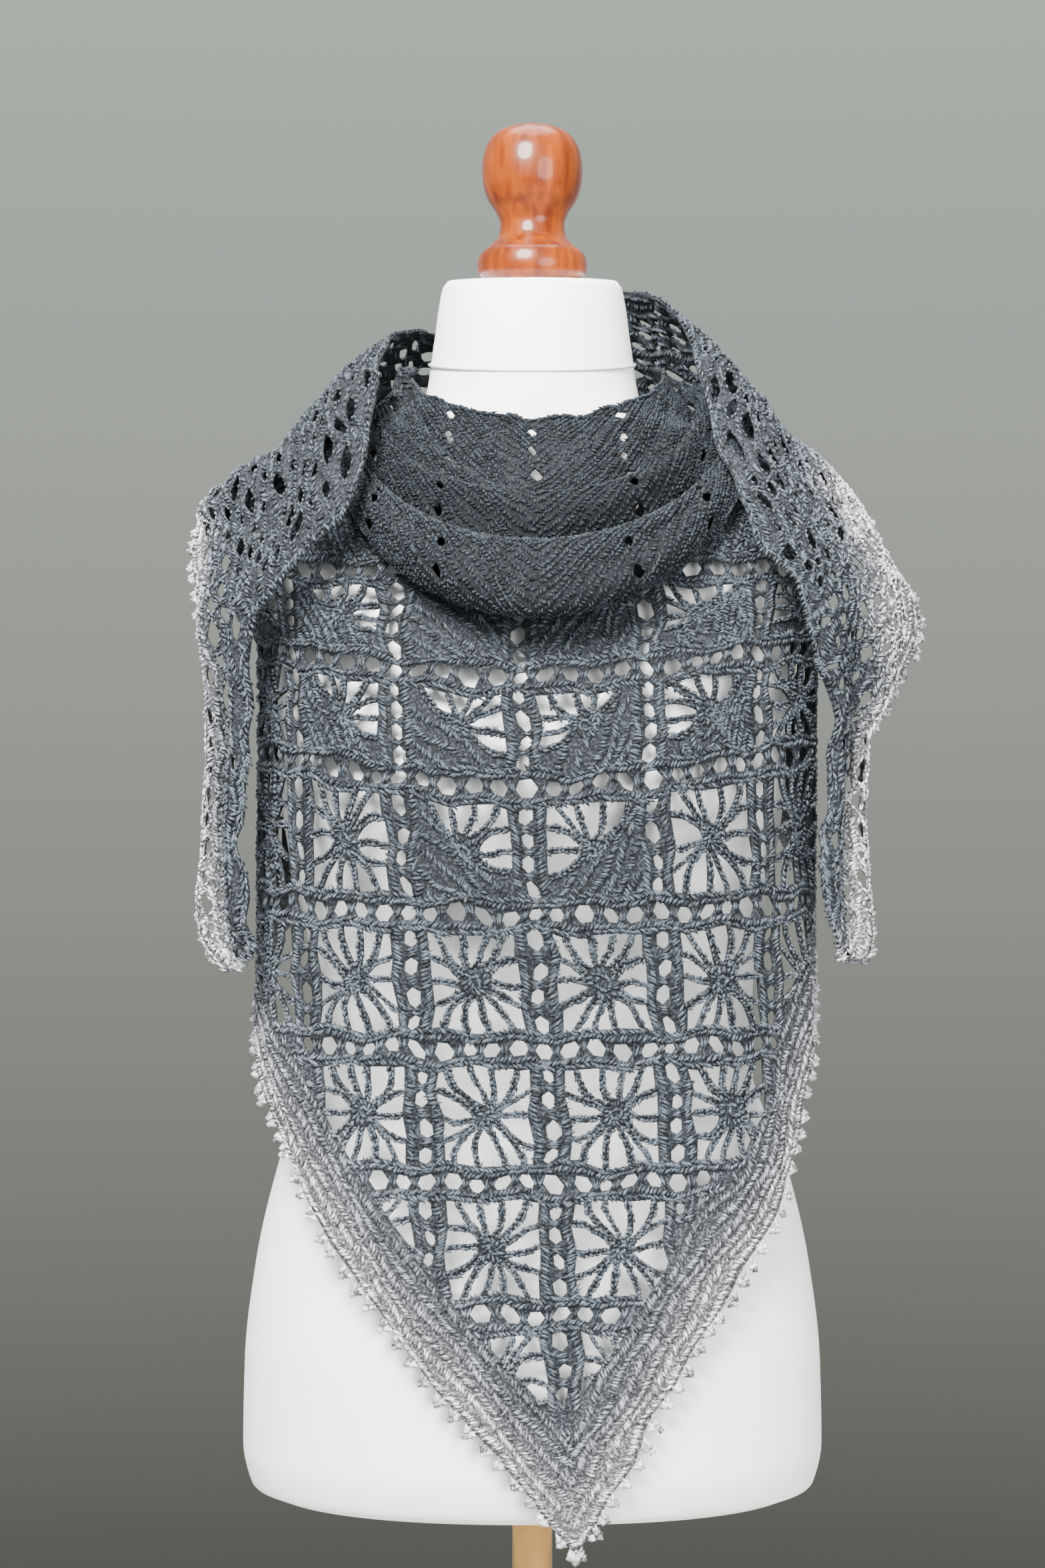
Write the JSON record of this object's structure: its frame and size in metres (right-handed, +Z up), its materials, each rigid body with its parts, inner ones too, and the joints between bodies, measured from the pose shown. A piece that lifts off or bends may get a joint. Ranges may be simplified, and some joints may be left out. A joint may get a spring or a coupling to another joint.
{
  "type": "crochet shawl on a dress form",
  "caption": "Large triangular lace shawl worn point-down in front, its ends crossed behind the neck and hung over the shoulders of a limbless dress form on a stand.",
  "frame": {"origin": "centre of the stand base's underside, on the dress form's axis", "axes": "+Z up along the dress form, -Y towards the front of the shawl, +X to the viewer's right as seen from the front"},
  "size_m": [0.4389, 0.3, 1.1347],
  "materials": {
    "yarn": "crocheted marl yarn, dark slate at the neck to pale lilac grey at the edge",
    "form_cover": "smooth ivory jersey over padding",
    "varnished_wood": "turned and glossy varnished",
    "brass": "satin brass"
  },
  "bodies": {
    "root": {"front_panel": "yarn", "back_wing_left": "yarn", "back_wing_right": "yarn", "neck_band": "yarn", "cowl_roll": "yarn", "cowl_drop": "yarn", "drape_left": "yarn", "drape_right": "yarn", "torso_form": "form_cover", "finial": "varnished_wood", "stand_pole": "brass", "stand_base": "brass"}
  },
  "joints": []
}
